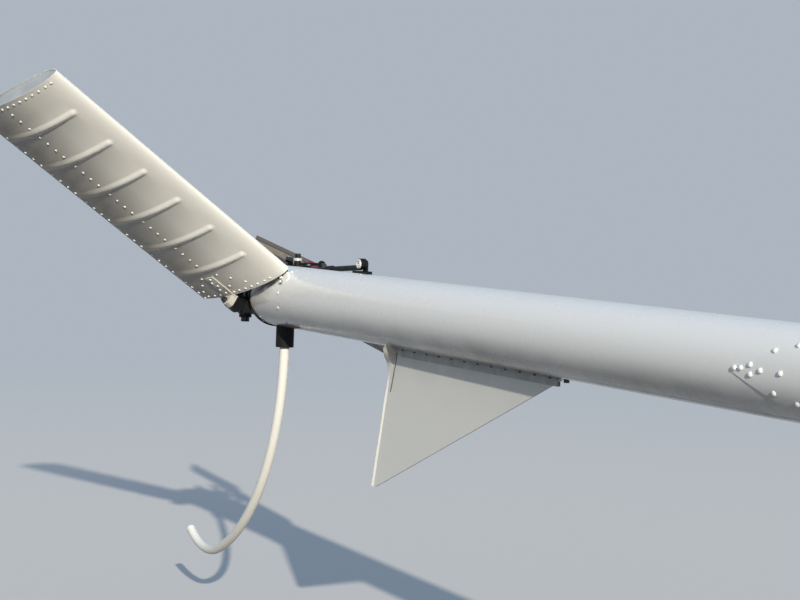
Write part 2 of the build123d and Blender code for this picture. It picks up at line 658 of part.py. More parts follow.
def fork():
    """The shaft, and the fork on its end whose ears carry the teeter pin."""
    start = FORK_BASE_START - ROTOR_OFFSET
    face = start + FORK_BASE_THICKNESS
    put("output_shaft", about_rotor(rod((0, GEAR_PORT - ROTOR_OFFSET, 0), (0, start, 0), SHAFT_RADIUS)))

    inner = HUB_HALF_HEIGHT + HUB_CLEARANCE
    outer = inner + FORK_EAR_THICKNESS
    yoke = rod((0, start, 0), (0, face, 0), FORK_BASE_RADIUS)
    yoke += Location((0, start + FORK_BASE_THICKNESS / 2, 0)) * Box(
        FORK_EAR_WIDTH, FORK_BASE_THICKNESS, 2 * outer)
    for side in (1, -1):
        yoke += Location((0, face / 2, side * (inner + outer) / 2)) * Box(
            FORK_EAR_WIDTH, -face, FORK_EAR_THICKNESS)
        yoke += rod((0, 0, side * inner), (0, 0, side * outer), FORK_EAR_WIDTH / 2)
    put("hub_fork", about_rotor(yoke - rod((0, 0, -outer), (0, 0, outer), TEETER_PIN_RADIUS)))

    head = outer + TEETER_HEAD_HEIGHT
    pin = rod((0, 0, -head), (0, 0, head), TEETER_PIN_RADIUS)
    for side in (1, -1):
        pin += rod((0, 0, side * outer), (0, 0, side * head), TEETER_HEAD_RADIUS)
    put("teeter_pin", about_rotor(pin))


def hub():
    """The block that teeters in the fork, with a spindle out to each grip and a washer at each ear."""
    block = Box(2 * HUB_HALF_LENGTH, HUB_THICKNESS, 2 * HUB_HALF_HEIGHT)
    block = fillet(block.edges().filter_by(Axis.Z), HUB_CORNER)
    spindle = GRIP_END - SPINDLE_SHORT_OF_GRIP
    block += rod((-spindle, 0, 0), (spindle, 0, 0), SPINDLE_RADIUS)
    pin_hole = TEETER_PIN_RADIUS + RUNNING_FIT
    put("hub_block", about_rotor(block - rod((0, 0, -HUB_HALF_HEIGHT), (0, 0, HUB_HALF_HEIGHT), pin_hole)))
    near, far = HUB_HALF_HEIGHT + FIT, HUB_HALF_HEIGHT + FIT + TEETER_WASHER_THICKNESS
    washer = rod((0, 0, near), (0, 0, far), TEETER_HEAD_RADIUS) - rod((0, 0, near), (0, 0, far), pin_hole)
    put("teeter_washers", *both_ways(washer))


def blade_bolt(radius):
    """The two bolts that clamp a blade's root in its grip, without their heads."""
    half = GRIP_TONGUE_THICKNESS / 2
    pair = [rod((r, -half, 0), (r, half, 0), radius) for r in BLADE_BOLT_RADII]
    return pair[0] + pair[1]


def blade():
    """The blade with its cut-away root, its tip cap, the grip that clamps it and the bolts."""
    pitched = Rotation(BLADE_PITCH, 0, 0)
    outline = Location((-BLADE_CHORD * BLADE_AXIS_SHARE, 0)) * section(
        BLADE_CHORD, BLADE_THICKNESS, BLADE_CREST, BLADE_TRAILING_EDGE)
    end = ROTOR_RADIUS - TIP_CAP_LENGTH
    whole = Location((0, 0, CUFF_START)) * extrude(outline, amount=end - CUFF_START)
    notch_length = BLADE_START - CUFF_START
    whole -= Location((CUFF_EDGE - BLADE_CHORD / 2, 0, CUFF_START + notch_length / 2)) * Box(
        BLADE_CHORD, BLADE_CHORD, notch_length)
    outwards = Plane(origin=(0, 0, 0), x_dir=(0, 0, -1), z_dir=(1, 0, 0)).location
    aerofoil = outwards * whole
    put("blade_tip_caps", *both_ways(pitched * (outwards * Location((0, 0, end)) * extrude(
        outline, amount=TIP_CAP_LENGTH, taper=TIP_CAP_TAPER))))

    tongue_start = GRIP_END - GRIP_TONGUE_OVERLAP
    tongue = Location(((tongue_start + GRIP_TONGUE_END) / 2, 0, 0)) * Box(
        GRIP_TONGUE_END - tongue_start, GRIP_TONGUE_THICKNESS, GRIP_TONGUE_WIDTH)
    tongue = fillet(tongue.edges().filter_by(Axis.Y), GRIP_CORNER)
    barrel = rod((GRIP_START, 0, 0), (GRIP_END, 0, 0), GRIP_RADIUS)
    bore = rod((GRIP_START, 0, 0), (GRIP_END - SPINDLE_SHORT_OF_GRIP, 0, 0), SPINDLE_RADIUS + FIT)
    hole = blade_bolt(BLADE_BOLT_RADIUS + RUNNING_FIT)
    put("blade_grips", *both_ways(pitched * (barrel + (tongue - aerofoil) - bore - hole)))
    put("blades", *both_ways(pitched * (aerofoil - hole)))

    half = GRIP_TONGUE_THICKNESS / 2
    bolts = []
    for r in BLADE_BOLT_RADII:
        bolt = rod((r, -half, 0), (r, half, 0), BLADE_BOLT_RADIUS)
        for side in (1, -1):
            bolt += rod((r, side * half, 0), (r, side * (half + BLADE_BOLT_HEAD_HEIGHT), 0), BLADE_BOLT_HEAD)
        bolts += both_ways(pitched * bolt)
    put("blade_bolts", *bolts)


def pitch_horn():
    """The arm on each grip that a link turns: a collar, a leaning arm, an eye and the link's ball."""
    level = LINK_FROM_SHAFT
    clear = rod((GRIP_START, 0, 0), (GRIP_END, 0, 0), GRIP_RADIUS + FIT)
    collar = rod((HORN_COLLAR_START, 0, 0), (HORN_COLLAR_END, 0, 0), HORN_COLLAR_RADIUS)
    foot = Vector((HORN_COLLAR_START + HORN_COLLAR_END) / 2, 0, HORN_FOOT_RISE)
    head = Vector((HORN_EYE_START + HORN_EYE_END) / 2, 0, level)
    line = head - foot
    arm = Plane(origin=(foot + head) * 0.5, x_dir=(0, 1, 0), z_dir=line).location * Box(
        HORN_WIDTH, HORN_THICKNESS, line.length)
    arm += rod((HORN_EYE_START, 0, level), (HORN_EYE_END, 0, level), HORN_WIDTH / 2)
    horn = collar + arm - clear
    horn += rod((0, 0, level), (HORN_EYE_START + PAST, 0, level), BALL_STEM_RADIUS)
    horn += Location((0, 0, level)) * Sphere(BALL_RADIUS)
    put("pitch_horns", *both_ways(horn))


def pitch_plate():
    """The plate that slides on the shaft, the links from its arms, and the ring that pushes it."""
    level = LINK_FROM_SHAFT
    start = RING_START + RING_THICKNESS + RING_GAP - ROTOR_OFFSET
    end = start + PLATE_HUB_THICKNESS
    near = end - PLATE_ARM_THICKNESS
    plate = rod((0, start, 0), (0, end, 0), PLATE_HUB_RADIUS)
    plate += Location((0, (near + end) / 2, 0)) * Box(PLATE_ARM_WIDTH, PLATE_ARM_THICKNESS, 2 * level)
    for side in (1, -1):
        plate += rod((0, near, side * level), (0, end, side * level), PLATE_ARM_WIDTH / 2)
    plate -= rod((0, start, 0), (0, end, 0), SHAFT_RADIUS + RUNNING_FIT)
    plate -= rod((0, start, 0), (0, SLEEVE_END - ROTOR_OFFSET + PAST, 0), SLEEVE_RADIUS + SLEEVE_CLEARANCE)
    put("pitch_plate", about_rotor(plate))

    half = LINK_EYE_WIDTH / 2
    link = rod((0, end, level), (0, LINK_ROD_INTO_EYE - LINK_EYE_RADIUS, level), LINK_ROD_RADIUS)
    link += rod((0, end, level), (0, end + LINK_COLLAR_HEIGHT, level), LINK_COLLAR_RADIUS)
    link += rod((-half, 0, level), (half, 0, level), LINK_EYE_RADIUS)
    link -= Location((0, 0, level)) * Sphere(BALL_RADIUS + BALL_CLEARANCE)
    put("pitch_links", *both_ways(link))

    ring = rod((ROTOR_X, RING_START, 0), (ROTOR_X, RING_START + RING_THICKNESS, 0), PLATE_HUB_RADIUS)
    pad_top = CRANK_LEVEL - CRANK_THICKNESS / 2 - FIT
    post_foot = PLATE_HUB_RADIUS - RING_THICKNESS
    ring += Location((ROTOR_X, RING_START + RING_THICKNESS / 2, (post_foot + pad_top) / 2)) * Box(
        RING_LUG_WIDTH, RING_THICKNESS, pad_top - post_foot)
    ring += rod((ROTOR_X, PAD_PORT, pad_top - PAD_THICKNESS), (ROTOR_X, PAD_PORT, pad_top), PAD_RADIUS)
    ring -= rod((ROTOR_X, RING_START - PAST, 0), (ROTOR_X, RING_START + RING_THICKNESS + PAST, 0),
                SLEEVE_RADIUS + FIT)
    ring -= control_bolt_hole(ROTOR_X, PAD_PORT)
    put("control_ring", ring)


def control_bolt_hole(x, y):
    """An upright drill for one of the control run's bolts, clear of the shaft below it."""
    return rod((x, y, CRANK_ROD_PORT / 2), (x, y, 2 * CRANK_LEVEL), CONTROL_BOLT_RADIUS + RUNNING_FIT)


def control_bolt(x, y, low, high):
    """An upright bolt with its head on top."""
    bolt = rod((x, y, low), (x, y, high), CONTROL_BOLT_RADIUS)
    return bolt + rod((x, y, high), (x, y, high + CONTROL_BOLT_HEAD_HEIGHT), CONTROL_BOLT_HEAD_RADIUS)


def crank_arm(start, end):
    """A flat bar with round ends, level, from one upright pin to another."""
    line = end - start
    half = CRANK_THICKNESS / 2
    bar = Plane(origin=(start + end) * 0.5, x_dir=line, z_dir=(0, 0, 1)).location * Box(
        line.length, CRANK_ARM_WIDTH, CRANK_THICKNESS)
    return bar + rod((end.X, end.Y, end.Z - half), (end.X, end.Y, end.Z + half), CRANK_ARM_WIDTH / 2)


def bellcrank():
    """The crank on the boom's end: a short low arm takes the rod, a long high one moves the ring."""
    x, y, half = AFT + CRANK_FORWARD, CRANK_PORT, CRANK_THICKNESS / 2
    low, high = CRANK_ROD_LEVEL - half, CRANK_LEVEL + half
    pedestal = rod((x, y, 0), (x, y, low - FIT), CRANK_HUB_RADIUS)
    put("crank_pedestal", pedestal - boom_outside(ON_BOOM) - rod((AFT - GEAR_AFT, 0, 0), (AFT, 0, 0), ON_BOOM))
    crank = rod((x, y, low), (x, y, high), CRANK_HUB_RADIUS)
    crank += crank_arm(Vector(x, y, CRANK_LEVEL), Vector(ROTOR_X, PAD_PORT, CRANK_LEVEL))
    crank += crank_arm(Vector(x, y, CRANK_ROD_LEVEL), Vector(x, CRANK_ROD_PORT, CRANK_ROD_LEVEL))
    crank -= control_bolt_hole(ROTOR_X, PAD_PORT)
    put("bellcrank", crank - control_bolt_hole(x, CRANK_ROD_PORT))
    cap = high + FIT
    put("crank_cap", rod((x, y, cap), (x, y, cap + CRANK_CAP_HEIGHT), CRANK_CAP_RADIUS))


def control_rod():
    """The push rod from the crank to its idler, the idler's bracket on the boom, and the bolts."""
    x, y = AFT + CRANK_FORWARD, CRANK_ROD_PORT
    half = CRANK_THICKNESS / 2
    eye_top = CRANK_ROD_LEVEL - half - FIT
    eye_low = eye_top - ROD_END_THICKNESS
    begin = Vector(x, y, (eye_top + eye_low) / 2)
    idler = Vector(AFT + IDLER_FORWARD, IDLER_PORT, IDLER_LEVEL)
    end = Vector(idler.X, IDLER_PORT, IDLER_ROD_LEVEL)
    along = (end - begin).normalized()
    neck_end = begin + along * CONTROL_ROD_NECK_LENGTH
    tube = rod(neck_end, end - along * (IDLER_EYE_RADIUS / 2), CONTROL_ROD_RADIUS)
    tube += rod(begin, neck_end, CONTROL_ROD_NECK_RADIUS)
    tube += rod(begin + along * ADJUSTER_START, begin + along * (ADJUSTER_START + ADJUSTER_LENGTH), ADJUSTER_RADIUS)
    tube += rod((x, y, eye_low), (x, y, eye_top), ROD_END_RADIUS)
    wide = Vector(0, IDLER_EYE_WIDTH / 2, 0)
    tube += rod(idler - wide, idler + wide, IDLER_EYE_RADIUS)
    tube -= rod(idler - wide, idler + wide, IDLER_BOLT_RADIUS + RUNNING_FIT)
    put("control_rod", tube - control_bolt_hole(x, y))

    near = idler + wide + Vector(0, FIT, 0)
    far = near + Vector(0, IDLER_EAR_THICKNESS, 0)
    length = IDLER_FOOT_AFT + IDLER_FOOT_FORWARD
    foot = Vector(idler.X + (IDLER_FOOT_FORWARD - IDLER_FOOT_AFT) / 2, IDLER_PORT, IDLER_FOOT_LEVEL / 2)
    bracket = Location(foot) * Box(length, IDLER_FOOT_WIDTH, IDLER_FOOT_LEVEL) - boom_outside(ON_BOOM)
    bracket += Location((idler.X, (near.Y + far.Y) / 2, (IDLER_FOOT_LEVEL + IDLER_LEVEL) / 2)) * Box(
        2 * IDLER_EAR_RADIUS, IDLER_EAR_THICKNESS, IDLER_LEVEL - IDLER_FOOT_LEVEL)
    bracket += rod(near, far, IDLER_EAR_RADIUS)
    put("idler_bracket", bracket - rod(near, far, IDLER_BOLT_RADIUS))

    nut = rod((x, y, eye_low - CONTROL_BOLT_HEAD_HEIGHT), (x, y, eye_low), CONTROL_BOLT_HEAD_RADIUS)
    pivot = rod(idler - wide, far, IDLER_BOLT_RADIUS)
    pad_low = CRANK_LEVEL - half - FIT - PAD_THICKNESS
    put("control_bolts", pivot,
        control_bolt(x, y, eye_low, CRANK_ROD_LEVEL + half) + nut,
        control_bolt(ROTOR_X, PAD_PORT, pad_low, CRANK_LEVEL + half))


def drive():
    """The shaft that turns inside the boom, and the coupling at its front end."""
    back = -COUPLING_BEHIND_FACE - COUPLING_THICKNESS
    put("drive_shaft", rod((RIM_FACE + DRIVE_END_GAP, 0, 0), (back, 0, 0), DRIVE_RADIUS))
    disc = ring_x(back, COUPLING_THICKNESS, COUPLING_DIAMETER / 2, COUPLING_BORE / 2)
    disc -= bolt_holes(COUPLING_BOLT_COUNT, COUPLING_BOLT_CIRCLE, COUPLING_BOLT_HOLE, back - PAST, PAST)
    put("drive_coupling", disc)


os.makedirs("parts", exist_ok=True)
boom()
saddle()
skid()
fin()
gusset()
stabiliser()
stabiliser_mounting()
gearbox()
fork()
hub()
blade()
pitch_horn()
pitch_plate()
bellcrank()
control_rod()
drive()
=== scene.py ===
import bmesh
import bpy
import numpy as np
from mathutils import Matrix, Vector


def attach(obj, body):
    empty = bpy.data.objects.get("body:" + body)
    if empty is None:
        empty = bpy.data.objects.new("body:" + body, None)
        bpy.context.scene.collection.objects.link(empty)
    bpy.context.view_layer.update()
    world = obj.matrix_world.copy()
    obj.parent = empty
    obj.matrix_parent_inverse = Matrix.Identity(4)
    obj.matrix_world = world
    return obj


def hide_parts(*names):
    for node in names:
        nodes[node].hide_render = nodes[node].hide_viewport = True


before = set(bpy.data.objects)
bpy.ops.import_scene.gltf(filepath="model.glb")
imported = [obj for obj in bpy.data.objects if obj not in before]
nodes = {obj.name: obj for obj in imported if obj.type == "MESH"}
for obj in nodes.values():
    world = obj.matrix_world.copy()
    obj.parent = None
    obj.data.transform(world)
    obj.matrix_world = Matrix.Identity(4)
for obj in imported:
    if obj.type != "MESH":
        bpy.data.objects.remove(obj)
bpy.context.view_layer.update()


# Camera. It stands ahead of the tail and to starboard, just above the boom's axis, and looks
# aft along the boom, as in the photograph. Its right and back directions fit the boom's outline.
camera_right = Vector((0.4622, 0.8860, 0.0370)).normalized()
camera_back = Vector((0.8846, -0.4636, 0.0513))
camera_back = (camera_back - camera_right * camera_back.dot(camera_right)).normalized()
camera_place = Matrix((camera_right, camera_back.cross(camera_right), camera_back)).transposed().to_4x4()
camera_place.translation = (1.6501, -2.4846, 0.3141)
camera_lens = bpy.data.cameras.new("camera")
camera_lens.sensor_width = 36.0
camera_lens.lens = 80.1
camera = bpy.data.objects.new("camera", camera_lens)
camera.matrix_world = camera_place
bpy.context.collection.objects.link(camera)
bpy.context.scene.camera = camera
bpy.context.scene.view_settings.view_transform = "Standard"


# Light. A hard low sun stands ahead and to starboard, so it lights the stabiliser's nose, grazes the
# boom and drops the boom's shadow across the fin. A dull sky, bluer overhead, fills the rest.
def linear(code):
    """An sRGB hex colour as linear RGBA: c / 12.92 below 0.04045, else ((c + 0.055) / 1.055) ^ 2.4."""
    c = np.array([int(code[k:k + 2], 16) for k in (0, 2, 4)]) / 255
    return (*np.where(c <= 0.04045, c / 12.92, ((c + 0.055) / 1.055) ** 2.4).tolist(), 1.0)


def add(tree, kind, inputs=(), stops=(), **settings):
    """Adds a node: settings first, then colour stops as (place, hex), then inputs as values or links."""
    node = tree.nodes.new(kind)
    for name, value in settings.items():
        setattr(node, name, value)
    for number, (place, code) in enumerate(stops):
        if number > 1:
            node.color_ramp.elements.new(place)
        node.color_ramp.elements[number].position = place
        node.color_ramp.elements[number].color = linear(code)
    for name, value in dict(inputs).items():
        if isinstance(value, bpy.types.NodeSocket):
            tree.links.new(value, node.inputs[name])
        else:
            node.inputs[name].default_value = value
    return node


key_light = bpy.data.lights.new("key_light", "SUN")
key_light.energy = 4.1
key_light.angle = 0.015
key_light.color = linear("FFF7EA")[:3]
to_sun = Vector((0.89, -0.285, 0.367))
key = bpy.data.objects.new("key_light", key_light)
key.rotation_euler = to_sun.to_track_quat("Z", "Y").to_euler()
bpy.context.collection.objects.link(key)

backdrop = "ADB6C0"
world = bpy.data.worlds.new("dull_sky")
world.use_nodes = True
bpy.context.scene.world = world
tree = world.node_tree
tree.nodes.clear()
direction = add(tree, "ShaderNodeTexCoord").outputs["Generated"]
height = add(tree, "ShaderNodeSeparateXYZ", {0: direction}).outputs["Z"]
sky = add(tree, "ShaderNodeValToRGB", {0: height}, ((0.0, backdrop), (0.25, backdrop), (0.75, "8AA3C4")))
background = add(tree, "ShaderNodeBackground", {"Color": sky.outputs["Color"]})
add(tree, "ShaderNodeOutputWorld", {"Surface": background.outputs[0]})


# Floor. A wide matt floor, well under the skid, that fades into the sky's colour far out and keeps
# the object's shadow. It throws less light back up than it shows, which keeps the undersides dark.
def sheet(name, *grids, around=False, capped=False, looped=False):
    """A mesh from grids of points, rows by columns, with a quad between each four neighbours.
    Around joins the last column to the first, looped the last row to the first, and capped
    closes the first and the last row. All faces are then turned to point outwards."""
    points, faces, start = [], [], 0
    for grid in grids:
        rows, columns = grid.shape[:2]
        index = start + np.arange(rows * columns).reshape(rows, columns)
        start += rows * columns
        points += grid.reshape(-1, 3).tolist()
        if capped:
            faces += [index[0].tolist(), index[-1, ::-1].tolist()]
        if around:
            index = np.concatenate([index, index[:, :1]], axis=1)
        if looped:
            index = np.concatenate([index, index[:1]], axis=0)
        quads = np.stack([index[:-1, :-1], index[1:, :-1], index[1:, 1:], index[:-1, 1:]], axis=-1)
        faces += quads.reshape(-1, 4).tolist()
    mesh = bpy.data.meshes.new(name)
    mesh.from_pydata(points, [], faces)
    edit = bmesh.new()
    edit.from_mesh(mesh)
    bmesh.ops.recalc_face_normals(edit, faces=edit.faces)
    edit.to_mesh(mesh)
    edit.free()
    piece = bpy.data.objects.new(name, mesh)
    bpy.context.collection.objects.link(piece)
    return piece


floor_height = -1.25
under_boom = (-2.5, 0.0, floor_height)
reach = np.linspace(-60, 60, 3)
floor = sheet("floor", np.stack([*np.meshgrid(reach, reach), np.full((3, 3), floor_height)], axis=-1))
matt_floor = bpy.data.materials.new("matt_floor")
matt_floor.use_nodes = True
tree = matt_floor.node_tree
tree.nodes.clear()
place = add(tree, "ShaderNodeTexCoord").outputs["Object"]
distance = add(tree, "ShaderNodeVectorMath", {0: place, 1: under_boom}, operation="DISTANCE").outputs["Value"]
fade = add(tree, "ShaderNodeMapRange", {"Value": distance, "From Min": 3.5, "From Max": 13.0},
           interpolation_type="SMOOTHSTEP")
path = add(tree, "ShaderNodeLightPath")
sharp = add(tree, "ShaderNodeMath", {0: path.outputs["Is Camera Ray"], 1: path.outputs["Is Glossy Ray"]},
            operation="MAXIMUM")
shown = add(tree, "ShaderNodeMath", {0: sharp.outputs[0], 1: path.outputs["Is Transmission Ray"]},
            operation="MAXIMUM")
near_tone = add(tree, "ShaderNodeMix", {0: shown.outputs[0], 6: linear("524E48"), 7: linear("CDCBC6")},
                data_type="RGBA")
far_tone = add(tree, "ShaderNodeMix", {0: shown.outputs[0], 6: linear("4E4B46"), 7: linear(backdrop)},
               data_type="RGBA")
matt = add(tree, "ShaderNodeBsdfDiffuse", {"Color": near_tone.outputs[2]})
far = add(tree, "ShaderNodeEmission", {"Color": far_tone.outputs[2]})
mixed = add(tree, "ShaderNodeMixShader", {0: fade.outputs["Result"], 1: matt.outputs[0], 2: far.outputs[0]})
add(tree, "ShaderNodeOutputMaterial", {"Surface": mixed.outputs[0]})
floor.data.materials.append(matt_floor)


# Boom. A rolled sheet-aluminium tube, primed and sprayed with glossy cool-white enamel. Painted shade
# darkens its underside and a patch under the stabiliser's root, and the gloss shows a faint orange peel.
def finish(name, roughness, metallic=0.0, **sockets):
    """A Principled material for one real finish: returns the material, its nodes and the shader.
    The sockets are named as the shader's own, with underscores for spaces."""
    material = bpy.data.materials.new(name)
    material.use_nodes = True
    shader = material.node_tree.nodes["Principled BSDF"]
    shader.inputs["Roughness"].default_value = roughness
    shader.inputs["Metallic"].default_value = metallic
    for socket, value in sockets.items():
        shader.inputs[socket.replace("_", " ")].default_value = value
    return material, material.node_tree, shader


def enamel(name, clean, soiled_or_shaded, mask, roughness, coat=0.2, coat_roughness=0.06, peel=0.03, even=0.35):
    """Sprayed enamel: a darker tone lies where the mask says, painted shade on the boom and the stabiliser
    and a stain on the skid, broken up by clouds 150 mm and streaks 30 mm wide, and even is the least share
    of it that is left. The peel is a 5 mm ripple, drawn twice as coarse as the real one so that it shows."""
    material, tree, shader = finish(name, roughness, Coat_Weight=coat, Coat_Roughness=coat_roughness)
    place = add(tree, "ShaderNodeTexCoord").outputs["Object"]
    clouds = add(tree, "ShaderNodeTexNoise", {"Vector": place, "Scale": 7.0, "Detail": 5.0, "Roughness": 0.6})
    stretched = add(tree, "ShaderNodeMapping", {"Vector": place, "Scale": (3.0, 33.0, 12.0)})
    streaks = add(tree, "ShaderNodeTexNoise", {"Vector": stretched.outputs[0], "Scale": 1.0, "Detail": 3.0})
    broken = add(tree, "ShaderNodeMath", {0: clouds.outputs["Fac"], 1: streaks.outputs["Fac"]},
                 operation="MULTIPLY")
    patchy = add(tree, "ShaderNodeMapRange", {"Value": broken.outputs[0], "From Min": 0.12, "From Max": 0.42,
                                               "To Min": even, "To Max": 1.0})
    soil_or_shade = add(tree, "ShaderNodeMath", {0: patchy.outputs["Result"], 1: mask(tree, place)},
               operation="MULTIPLY", use_clamp=True)
    colour = add(tree, "ShaderNodeMix", {0: soil_or_shade.outputs[0], 6: linear(clean), 7: linear(soiled_or_shaded)},
                 data_type="RGBA")
    rough = add(tree, "ShaderNodeMapRange", {"Value": clouds.outputs["Fac"], "From Min": 0.3, "From Max": 0.7,
                                              "To Min": roughness - 0.05, "To Max": roughness + 0.08})
    ripple = add(tree, "ShaderNodeTexNoise", {"Vector": place, "Scale": 200.0, "Detail": 1.0})
    bump = add(tree, "ShaderNodeBump", {"Height": ripple.outputs["Fac"], "Strength": peel, "Distance": 0.001})
    tree.links.new(colour.outputs[2], shader.inputs["Base Color"])
    tree.links.new(rough.outputs["Result"], shader.inputs["Roughness"])
    tree.links.new(bump.outputs["Normal"], shader.inputs["Normal"])
    return material


def rising(axis, start, end, most=1.0):
    """A mask along one of the axes: nothing at the start, and its most at the end."""
    def mask(tree, place):
        along = add(tree, "ShaderNodeSeparateXYZ", {0: place}).outputs[axis]
        share = add(tree, "ShaderNodeMapRange", {"Value": along, "From Min": start, "From Max": end,
                                                  "To Max": most}, interpolation_type="SMOOTHSTEP")
        return share.outputs["Result"]
    return mask


def dress(material, *names):
    """Gives CAD nodes their finished material."""
    for name in names:
        for slot in nodes[name].material_slots:
            slot.material = material


def boom_painted_shade(tree, place):
    """Painted shade: darker towards the underside, rising to its most at the bottom, or a patch of
    painted shade under the stabiliser's root where that is more. The patch ends near (along / 100 mm)^2
    + (across / 20 mm)^2 = 1. Its two vectors are 1 / 0.1 and 1 / 0.02 long, so their dot products are those
      ratios."""
    underside_shade = rising("Z", 0.0, -0.11)(tree, place)
    patch_centre = (-3.888, -0.096, 0.036)
    patch_along = (9.3, 1.1, 3.5)
    patch_across = (17.6, -16.9, -43.2)
    off = add(tree, "ShaderNodeVectorMath", {0: place, 1: patch_centre}, operation="SUBTRACT").outputs[0]
    along = add(tree, "ShaderNodeVectorMath", {0: off, 1: patch_along}, operation="DOT_PRODUCT")
    across = add(tree, "ShaderNodeVectorMath", {0: off, 1: patch_across}, operation="DOT_PRODUCT")
    both = add(tree, "ShaderNodeCombineXYZ", {0: along.outputs["Value"], 1: across.outputs["Value"]})
    ratio = add(tree, "ShaderNodeVectorMath", {0: both.outputs[0]}, operation="LENGTH").outputs["Value"]
    patch = add(tree, "ShaderNodeMapRange", {"Value": ratio, "From Min": 1.15, "From Max": 0.8, "To Max": 1.6},
                interpolation_type="SMOOTHSTEP").outputs["Result"]
    return add(tree, "ShaderNodeMath", {0: underside_shade, 1: patch}, operation="MAXIMUM").outputs[0]


gloss_white = enamel("gloss_white_enamel", "EAEAE6", "49443D", boom_painted_shade, roughness=0.26, coat=0.5,
                     coat_roughness=0.03, peel=0.02)
dress(gloss_white, "boom_tube", "centre_saddle", "strut_fitting")


# Boom fasteners. Pan-head screws hold the aft fitting's spigot inside the tube, and round-head bolts
# clamp the saddle's point and edges. Each is steel under the same white enamel.
def studs(name, outline, sides, places, normals, material, body, slot):
    """One mesh of like fasteners: the outline, pairs of radius and height in mm, is turned about
    each normal, so a point is place + radius * (cos a * t + sin a * b) + height * normal."""
    outline = np.array(outline) / 1000
    places, normals = np.array(places, float), np.array(normals, float)
    normals /= np.linalg.norm(normals, axis=1, keepdims=True)
    spare = np.where(np.abs(normals[:, :1]) < 0.9, (1.0, 0.0, 0.0), (0.0, 1.0, 0.0))
    tangent = np.cross(normals, spare)
    tangent /= np.linalg.norm(tangent, axis=1, keepdims=True)
    across = np.cross(normals, tangent)
    turn = np.arange(sides) * 2 * np.pi / sides
    ring = np.cos(turn)[:, None] * tangent[:, None] + np.sin(turn)[:, None] * across[:, None]
    grids = (places[:, None, None] + outline[:, 0, None, None] * ring[:, None]
             + outline[:, 1, None, None] * normals[:, None, None])
    return fitted(sheet(name, *grids, around=True, capped=True), material, body, slot)


def fitted(piece, material, body, slot, sharp=0.6):
    """Smooths a new piece, keeping its sharp edges, and gives it its material and body. The slot is not used.
    """
    piece.data.shade_smooth()
    piece.data.set_sharp_from_angle(angle=sharp)
    piece.data.materials.append(material)
    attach(piece, body)
    return piece


def on_boom(pairs, radius):
    """Places and normals on the boom: x is millimetres ahead of its aft end, and the angle goes
    from the top line round to starboard. The second half of what is given are their port twins."""
    pairs = np.array(pairs, float)
    pairs = np.concatenate([pairs, pairs * (1, -1)])
    turn = np.radians(pairs[:, 1])
    normals = np.stack([0 * turn, -np.sin(turn), np.cos(turn)], axis=1)
    axis_points = np.stack([pairs[:, 0] - boom_length, 0 * turn, 0 * turn], axis=1)
    return (axis_points + normals * radius) / 1000, normals


boom_length = 4000.0
boom_radius = 105.0
saddle_radius = 106.75
pan_head = [(4.6, -1.0), (4.8, 0.6), (4.5, 2.0), (3.2, 2.9), (1.6, 3.0), (1.2, 1.9)]
fitting_heads = [(231, 31), (231, 79), (229, 107), (226, 141), (22, 135), (22, 62), (14, 146)]
studs("aft_fitting_screws", pan_head, 12, *on_boom(fitting_heads, boom_radius), gloss_white, "boom",
      "white_enamel")
round_head = [(6.6, -0.5), (6.6, 0.5), (6.0, 2.4), (4.3, 4.2), (2.0, 5.0)]
saddle_heads = [(2650, 88), (2671, 87), (2701, 82), (2703, 93), (2735, 87), (2799, 87), (2765, 62),
                (2774, 111), (2840, 120), (2827, 52)]
saddle_heads += [(x, angle) for x in (2905, 3160) for angle in (30, 75, 105, 150)]
studs("saddle_bolts", round_head, 14, *on_boom(saddle_heads, saddle_radius), gloss_white, "boom",
      "white_enamel")


# Boom's front end. The bolting flange is turned from aluminium and clear anodised, which leaves a
# soft, even grey shine. The drive shaft and its coupling behind it are ground steel, sharper in
# their reflections, with small patches dulled by a thin film of oil.
def blotches(name, dark, light, roughness, size, metallic=0.0, relief=0.0, grain=0.002, **sockets):
    """A finish whose colour drifts between two tones in blotches of a real size in metres, over a
    grain that carries the relief. The grain is 1.5 to 2 mm, drawn coarser than the real one so that
    it shows."""
    material, tree, shader = finish(name, roughness, metallic, **sockets)
    place = add(tree, "ShaderNodeTexCoord").outputs["Object"]
    noise = add(tree, "ShaderNodeTexNoise", {"Vector": place, "Scale": 1 / size, "Detail": 4.0})
    drift = add(tree, "ShaderNodeValToRGB", {0: noise.outputs["Fac"]}, ((0.32, dark), (0.68, light)))
    rough = add(tree, "ShaderNodeMapRange", {"Value": noise.outputs["Fac"], "From Min": 0.3, "From Max": 0.7,
                                              "To Min": roughness - 0.06, "To Max": roughness + 0.06})
    fine = add(tree, "ShaderNodeTexNoise", {"Vector": place, "Scale": 1 / grain, "Detail": 2.0})
    bump = add(tree, "ShaderNodeBump", {"Height": fine.outputs["Fac"], "Strength": relief, "Distance": 0.001})
    tree.links.new(drift.outputs["Color"], shader.inputs["Base Color"])
    tree.links.new(rough.outputs["Result"], shader.inputs["Roughness"])
    tree.links.new(bump.outputs["Normal"], shader.inputs["Normal"])
    return material


machined = blotches("machined_aluminium", "A9ABAC", "C6C7C7", 0.32, metallic=1.0, size=0.02, relief=0.06)
steel = blotches("plated_steel", "8F9296", "B4B6B8", 0.28, metallic=1.0, size=0.008, relief=0.05)
dress(machined, "front_flange")
dress(steel, "drive_shaft", "drive_coupling")


# Ventral fin. Sheet aluminium folded round its nose, flatter and matter than the boom, with a web let
# into its open rear edge. It hangs from two riveted angles of lighter, weathered grey.
# The fin's enamel is a little darker towards the boom.
fin_white = enamel("satin_fin_enamel", "E9E9E2", "B4B0A7", rising("Z", -0.30, -0.105, 0.4), roughness=0.36)
dress(fin_white, "fin_skin", "fin_web")
angle_grey = blotches("weathered_angle_paint", "A5A7A6", "C8C9C7", 0.5, size=0.05, relief=0.1)
dress(angle_grey, "fin_angle_port", "fin_angle_starboard")
